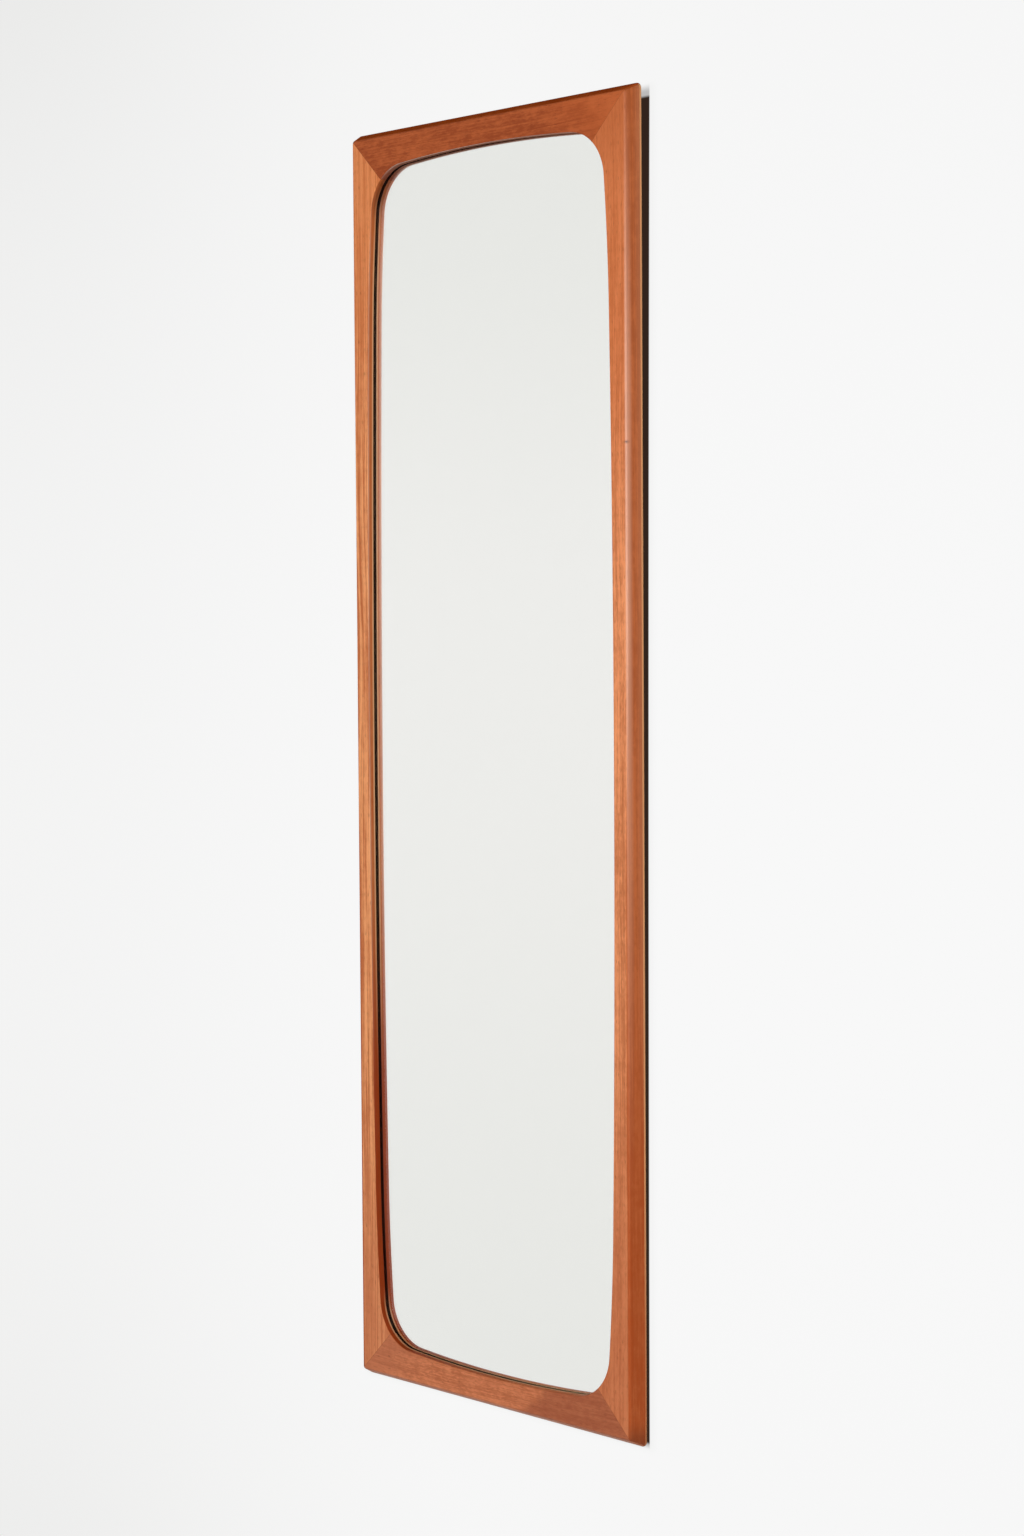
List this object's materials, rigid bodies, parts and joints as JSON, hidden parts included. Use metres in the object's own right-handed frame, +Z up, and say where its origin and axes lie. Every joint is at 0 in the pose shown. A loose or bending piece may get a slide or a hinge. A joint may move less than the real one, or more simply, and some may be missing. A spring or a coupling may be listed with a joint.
{
  "type": "wall mirror",
  "caption": "Tall narrow wall mirror in a mitred teak frame with a bowed, round-cornered opening, closed at the back and hung by swinging rings.",
  "frame": {"origin": "on the back plane of the frame, midway between the two hangers and level with the insides of their rings' tips, where the wall hooks carry the mirror", "axes": "+X to the right of a viewer who looks into the mirror, +Y into the wall, +Z up the long side"},
  "size_m": [0.375, 0.0182, 1.2],
  "materials": {
    "teak": "oiled, silky, worn arrises",
    "mirror": "silvered float glass",
    "plywood": "raw plywood",
    "hardboard": "smooth brown hardboard",
    "steel": "zinc plated, dull",
    "felt": "dark grey felt"
  },
  "bodies": {
    "frame": {"left_stile": "teak", "right_stile": "teak", "top_rail": "teak", "bottom_rail": "teak", "tongue_top_left": "plywood", "tongue_top_right": "plywood", "tongue_bottom_left": "plywood", "tongue_bottom_right": "plywood", "mirror_glass": "mirror", "back_board": "hardboard", "board_points": "steel", "left_hanger_strap": "steel", "right_hanger_strap": "steel", "hanger_screws": "steel", "left_felt_pad": "felt", "right_felt_pad": "felt"},
    "left_ring": {"left_hanger_ring": "steel"},
    "right_ring": {"right_hanger_ring": "steel"}
  },
  "joints": [
    {"name": "left_ring_swing", "type": "hinge", "parent": "frame", "child": "left_ring", "pos_m": [-0.17775, 0.00185, -0.012], "axis": [-1, 0, 0], "range_deg": [-3.5, 168]},
    {"name": "right_ring_swing", "type": "hinge", "parent": "frame", "child": "right_ring", "pos_m": [0.17775, 0.00185, -0.012], "axis": [-1, 0, 0], "range_deg": [-3.5, 168]}
  ]
}
